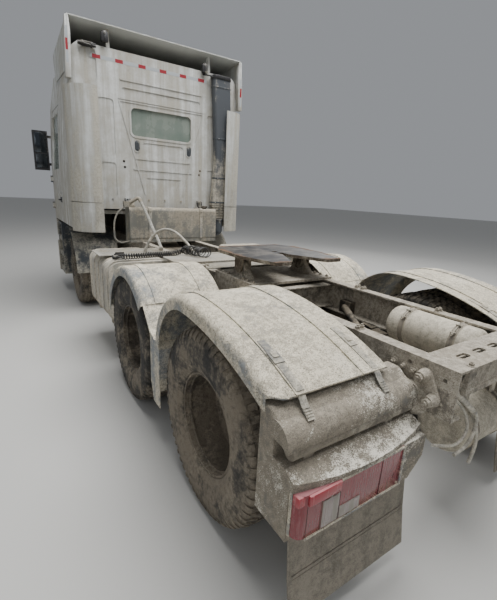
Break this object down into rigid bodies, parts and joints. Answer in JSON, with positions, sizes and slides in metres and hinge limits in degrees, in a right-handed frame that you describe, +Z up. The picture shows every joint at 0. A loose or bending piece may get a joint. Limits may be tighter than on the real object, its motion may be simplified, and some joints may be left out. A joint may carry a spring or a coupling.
{
  "type": "semi truck tractor unit",
  "caption": "Three-axle semi-trailer tractor with a tilting high-roof sleeper cab, steered front wheels, twin drive wheels, arched fenders and a rocking coupling plate.",
  "frame": {"origin": "on the ground, halfway along and halfway across the truck", "axes": "+X to the truck's own left, +Y to the rear, +Z up; the cab faces -Y"},
  "size_m": [2.96, 6.98, 3.6648],
  "materials": {
    "frame_grey": "muddy chassis paint",
    "axle_grey": "cast, muddy",
    "spring_dark": "dark, dusty",
    "cab_white": "dusty white paint",
    "plastic_beige": "grey moulded plastic under dried mud",
    "plastic_dark": "dark moulded plastic",
    "interior_grey": "trim",
    "seat_fabric": "woven",
    "rim_steel": "muddy silver paint",
    "tyre_rubber": "dusty rubber",
    "tank_alloy": "dusty",
    "tank_paint": "dusty grey paint",
    "plate_steel": "greasy, worn",
    "deck_alloy": "pressed sheet",
    "glass_green": "tinted",
    "lamp_red": "lens",
    "rubber_black": "dusty",
    "lead_black": "dusty",
    "hose_pale": "dusty hose",
    "mirror_dark": "housing"
  },
  "bodies": {
    "chassis": {"frame_rails": "frame_grey", "crossmembers": "frame_grey", "rear_crossmember": "frame_grey", "axles": "axle_grey", "suspension": "spring_dark", "prop_shafts": "axle_grey", "engine": "axle_grey", "fuel_tank": "tank_alloy", "exhaust_box": "tank_alloy", "body_brackets": "frame_grey", "air_tanks": "tank_paint", "fifth_wheel_base": "frame_grey", "hydraulic_tank": "tank_paint", "deck": "deck_alloy", "drive_fenders": "plastic_beige", "tail_panels": "plastic_beige", "lamps": "lamp_red", "mudflaps": "rubber_black", "bumper": "plastic_beige", "steps": "plastic_dark", "front_mudguards": "plastic_dark", "cab_mounts": "frame_grey", "air_filter": "plastic_dark", "lead_braided": "hose_pale", "lead_arched": "hose_pale", "lead_coil": "lead_black", "tail_hoses": "hose_pale"},
    "cab": {"cab_floor": "cab_white", "cab_front": "cab_white", "cab_roof": "cab_white", "cab_rear_wall": "cab_white", "cab_sides": "cab_white", "door_hinges": "plastic_dark", "cab_glass": "glass_green", "roof_spoiler": "cab_white", "side_deflectors": "plastic_beige", "snorkel": "plastic_dark", "mirrors": "mirror_dark", "dashboard": "interior_grey", "seats_and_bunk": "seat_fabric"},
    "door_left": {"door_left": "cab_white", "door_glass_left": "glass_green"},
    "door_right": {"door_right": "cab_white", "door_glass_right": "glass_green"},
    "fifth_wheel": {"fifth_wheel": "plate_steel"},
    "knuckle_left": {"knuckle_left": "axle_grey"},
    "knuckle_right": {"knuckle_right": "axle_grey"},
    "tie_rod": {"tie_rod": "axle_grey"},
    "wheel_steer_left": {"tyre_steer_left": "tyre_rubber", "rim_steer_left": "rim_steel"},
    "wheels_drive_1_left": {"tyres_drive_1_left": "tyre_rubber", "rims_drive_1_left": "rim_steel"},
    "wheels_drive_2_left": {"tyres_drive_2_left": "tyre_rubber", "rims_drive_2_left": "rim_steel"},
    "wheel_steer_right": {"tyre_steer_right": "tyre_rubber", "rim_steer_right": "rim_steel"},
    "wheels_drive_1_right": {"tyres_drive_1_right": "tyre_rubber", "rims_drive_1_right": "rim_steel"},
    "wheels_drive_2_right": {"tyres_drive_2_right": "tyre_rubber", "rims_drive_2_right": "rim_steel"}
  },
  "joints": [
    {"name": "cab_tilt", "type": "hinge", "parent": "chassis", "child": "cab", "pos_m": [0, -3.35, 0.88], "axis": [1, 0, 0], "range_deg": [0, 60]},
    {"name": "door_left_hinge", "type": "hinge", "parent": "cab", "child": "door_left", "pos_m": [1.262, -3.216, 1.665], "axis": [0, 0, -1], "range_deg": [0, 70]},
    {"name": "door_right_hinge", "type": "hinge", "parent": "cab", "child": "door_right", "pos_m": [-1.262, -3.216, 1.665], "axis": [0, 0, 1], "range_deg": [0, 70]},
    {"name": "fifth_wheel_tilt", "type": "hinge", "parent": "chassis", "child": "fifth_wheel", "pos_m": [0, 1.55, 1.18], "axis": [1, 0, 0], "range_deg": [-12, 12]},
    {"name": "steer_left", "type": "hinge", "parent": "chassis", "child": "knuckle_left", "pos_m": [0.85, -2, 0.54], "axis": [0, 0, 1], "range_deg": [-38, 38]},
    {"name": "steer_right", "type": "hinge", "parent": "chassis", "child": "knuckle_right", "pos_m": [-0.85, -2, 0.54], "axis": [0, 0, 1], "range_deg": [-38, 38]},
    {"name": "tie_rod_end", "type": "hinge", "parent": "knuckle_left", "child": "tie_rod", "pos_m": [0.85, -1.78, 0.41], "axis": [0, 0, 1], "range_deg": [-38, 38]},
    {"name": "wheel_steer_left_spin", "type": "hinge", "parent": "knuckle_left", "child": "wheel_steer_left", "pos_m": [1.01, -2, 0.54], "axis": [1, 0, 0], "continuous": true},
    {"name": "wheels_drive_1_left_spin", "type": "hinge", "parent": "chassis", "child": "wheels_drive_1_left", "pos_m": [0.915, 1.2, 0.54], "axis": [1, 0, 0], "continuous": true},
    {"name": "wheels_drive_2_left_spin", "type": "hinge", "parent": "chassis", "child": "wheels_drive_2_left", "pos_m": [0.915, 2.6, 0.54], "axis": [1, 0, 0], "continuous": true},
    {"name": "wheel_steer_right_spin", "type": "hinge", "parent": "knuckle_right", "child": "wheel_steer_right", "pos_m": [-1.01, -2, 0.54], "axis": [1, 0, 0], "continuous": true},
    {"name": "wheels_drive_1_right_spin", "type": "hinge", "parent": "chassis", "child": "wheels_drive_1_right", "pos_m": [-0.915, 1.2, 0.54], "axis": [1, 0, 0], "continuous": true},
    {"name": "wheels_drive_2_right_spin", "type": "hinge", "parent": "chassis", "child": "wheels_drive_2_right", "pos_m": [-0.915, 2.6, 0.54], "axis": [1, 0, 0], "continuous": true}
  ],
  "couplings": [
    {"joint": "steer_right", "follows": "steer_left", "ratio": 1},
    {"joint": "tie_rod_end", "follows": "steer_left", "ratio": -1}
  ]
}
